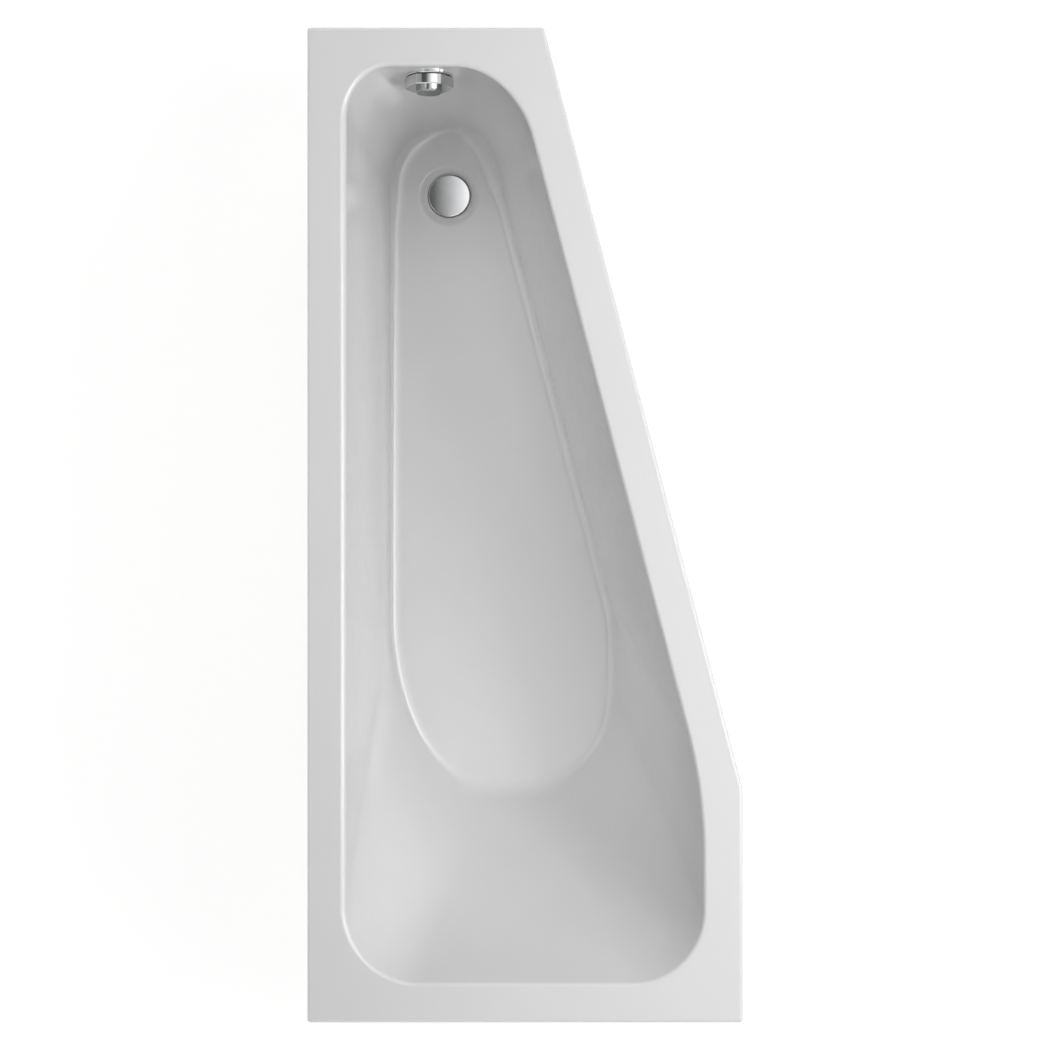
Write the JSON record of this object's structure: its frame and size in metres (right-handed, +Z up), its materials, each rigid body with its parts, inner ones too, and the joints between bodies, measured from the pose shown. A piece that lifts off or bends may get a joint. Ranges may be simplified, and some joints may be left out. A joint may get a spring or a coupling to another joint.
{
  "type": "asymmetric bathtub",
  "caption": "Space-saving acrylic bathtub with a slanted long side, narrow foot end, sloping backrest, pop-up waste, turning overflow knob, trap and adjustable foot frame.",
  "frame": {"origin": "on the floor, under the middle of the rim's outer box", "axes": "+Z up, +Y towards the narrow end with the waste and overflow, -X the long straight side"},
  "size_m": [0.7, 1.6, 0.58],
  "materials": {
    "acrylic": "glossy white cast acrylic",
    "laminate": "sprayed glass fibre laminate",
    "board": "chipboard",
    "batten": "sawn softwood",
    "rail_steel": "galvanised sheet",
    "zinc_steel": "zinc plated",
    "pad_plastic": "moulded black nylon",
    "rubber": "matt black",
    "chrome": "polished chrome plate",
    "fitting_plastic": "moulded white polypropylene",
    "nut_plastic": "moulded grey polypropylene",
    "inner_plastic": "moulded acetal",
    "brass": "turned brass",
    "hose_plastic": "ribbed white hose",
    "cable_sheath": "extruded black sheath",
    "ferrule_metal": "crimped ferrule"
  },
  "bodies": {
    "tub": {"tub_shell": "acrylic", "laminate_backing": "laminate", "base_board": "board", "left_rim_batten": "batten", "head_rim_batten": "batten", "right_rim_batten": "batten", "slant_rim_batten": "batten", "drain_end_rail": "rail_steel", "head_end_rail": "rail_steel", "weld_nuts": "zinc_steel", "lock_nuts": "zinc_steel", "rail_screws": "zinc_steel", "hose_clips": "zinc_steel", "flange_seal": "rubber", "waste_gasket": "rubber", "overflow_gasket": "rubber", "trap_washers": "rubber", "waste_flange": "chrome", "overflow_rosette": "chrome", "waste_body": "fitting_plastic", "overflow_body": "fitting_plastic", "trap_bend": "fitting_plastic", "trap_inlet_nut": "nut_plastic", "trap_outlet_nut": "nut_plastic", "spindle_spider": "inner_plastic", "overflow_hose": "hose_plastic", "control_cable": "cable_sheath", "cable_ferrules": "ferrule_metal"},
    "knob": {"overflow_knob": "chrome", "knob_cap": "chrome", "knob_spindle": "brass", "knob_pinion": "inner_plastic"},
    "rack": {"cable_rack": "inner_plastic"},
    "lifter": {"lift_plunger": "brass"},
    "plug": {"plug_cover": "chrome", "plug_carrier": "inner_plastic", "plug_seal": "rubber"},
    "trap_arm": {"trap_outlet_arm": "fitting_plastic"},
    "drain_left_leg": {"drain_left_leg_stud": "zinc_steel", "drain_left_leg_pad": "pad_plastic", "drain_left_leg_sole": "rubber"},
    "drain_right_leg": {"drain_right_leg_stud": "zinc_steel", "drain_right_leg_pad": "pad_plastic", "drain_right_leg_sole": "rubber"},
    "head_left_leg": {"head_left_leg_stud": "zinc_steel", "head_left_leg_pad": "pad_plastic", "head_left_leg_sole": "rubber"},
    "head_right_leg": {"head_right_leg_stud": "zinc_steel", "head_right_leg_pad": "pad_plastic", "head_right_leg_sole": "rubber"}
  },
  "joints": [
    {"name": "knob_turn", "type": "hinge", "parent": "tub", "child": "knob", "pos_m": [-0.156, 0.73121, 0.518], "axis": [0, -0.9941, 0.1089], "range_deg": [0, 98]},
    {"name": "rack_slide", "type": "slide", "parent": "tub", "child": "rack", "axis": [0, -0.1089, -0.9941], "range_m": [0, 0.01202]},
    {"name": "plug_lift", "type": "slide", "parent": "tub", "child": "lifter", "axis": [0, 0, 1], "range_m": [0, 0.01202]},
    {"name": "plug_pull_out", "type": "slide", "parent": "lifter", "child": "plug", "axis": [0, 0, 1], "range_m": [0, 0.06]},
    {"name": "trap_swivel", "type": "hinge", "parent": "tub", "child": "trap_arm", "pos_m": [-0.132, 0.407, 0.1155], "axis": [0, 0, -1], "range_deg": [0, 45]},
    {"name": "drain_left_leg_screw", "type": "slide", "parent": "tub", "child": "drain_left_leg", "axis": [0, 0, -1], "range_m": [0, 0.05]},
    {"name": "drain_right_leg_screw", "type": "slide", "parent": "tub", "child": "drain_right_leg", "axis": [0, 0, -1], "range_m": [0, 0.05]},
    {"name": "head_left_leg_screw", "type": "slide", "parent": "tub", "child": "head_left_leg", "axis": [0, 0, -1], "range_m": [0, 0.05]},
    {"name": "head_right_leg_screw", "type": "slide", "parent": "tub", "child": "head_right_leg", "axis": [0, 0, -1], "range_m": [0, 0.05]}
  ],
  "couplings": [
    {"joint": "rack_slide", "follows": "knob_turn", "m_per_rad": 0.007},
    {"joint": "plug_lift", "follows": "knob_turn", "m_per_rad": 0.007}
  ]
}
